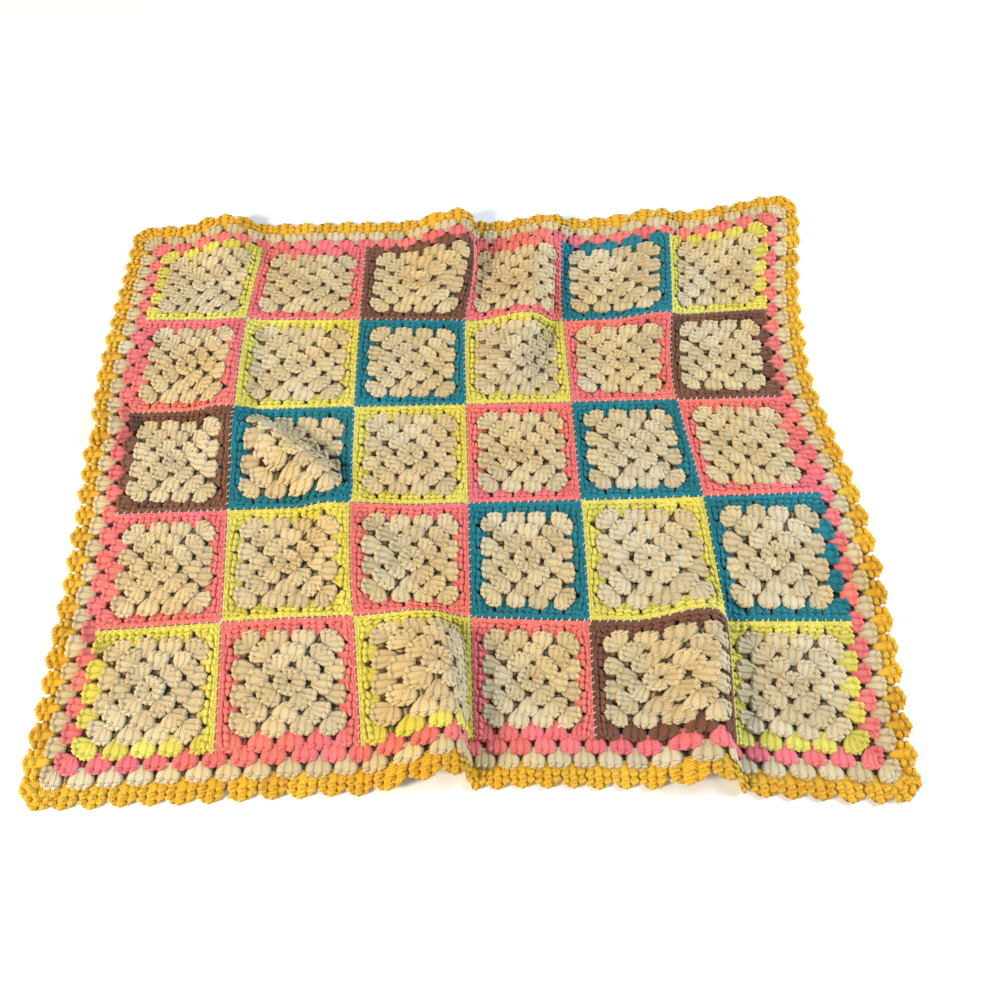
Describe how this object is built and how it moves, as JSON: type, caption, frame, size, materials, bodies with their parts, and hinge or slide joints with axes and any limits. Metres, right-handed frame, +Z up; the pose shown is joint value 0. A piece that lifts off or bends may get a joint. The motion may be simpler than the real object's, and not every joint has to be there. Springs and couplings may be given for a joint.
{
  "type": "crochet baby blanket",
  "caption": "Crochet baby blanket of granny squares with cream middles, bright outer rounds and a scalloped gold edge, lying loosely with soft folds.",
  "frame": {"origin": "middle of the outline, on the surface that the blanket lies on", "axes": "+X along the long side of the blanket, +Y away from the viewer, +Z up"},
  "size_m": [0.9809, 0.83, 0.0308],
  "materials": {
    "cream_yarn": "matt",
    "coral_yarn": "matt",
    "yellow_yarn": "matt",
    "turquoise_yarn": "matt",
    "brown_yarn": "matt",
    "gold_yarn": "matt"
  },
  "bodies": {
    "root": {"square_row1_col1": "yellow_yarn", "square_row1_col2": "coral_yarn", "square_row1_col3": "brown_yarn", "square_row1_col4": "coral_yarn", "square_row1_col5": "turquoise_yarn", "square_row1_col6": "yellow_yarn", "square_row2_col1": "coral_yarn", "square_row2_col2": "yellow_yarn", "square_row2_col3": "turquoise_yarn", "square_row2_col4": "yellow_yarn", "square_row2_col5": "coral_yarn", "square_row2_col6": "brown_yarn", "square_row3_col1": "brown_yarn", "square_row3_col2": "turquoise_yarn", "square_row3_col3": "yellow_yarn", "square_row3_col4": "coral_yarn", "square_row3_col5": "turquoise_yarn", "square_row3_col6": "coral_yarn", "square_row4_col1": "coral_yarn", "square_row4_col2": "yellow_yarn", "square_row4_col3": "coral_yarn", "square_row4_col4": "turquoise_yarn", "square_row4_col5": "yellow_yarn", "square_row4_col6": "turquoise_yarn", "square_row5_col1": "yellow_yarn", "square_row5_col2": "coral_yarn", "square_row5_col3": "yellow_yarn", "square_row5_col4": "coral_yarn", "square_row5_col5": "brown_yarn", "square_row5_col6": "yellow_yarn", "coral_round_far": "coral_yarn", "cream_round_far": "cream_yarn", "gold_shells_far": "gold_yarn", "coral_round_near": "coral_yarn", "cream_round_near": "cream_yarn", "gold_shells_near": "gold_yarn", "coral_round_left": "coral_yarn", "cream_round_left": "cream_yarn", "gold_shells_left": "gold_yarn", "coral_round_right": "coral_yarn", "cream_round_right": "cream_yarn", "gold_shells_right": "gold_yarn"}
  },
  "joints": []
}
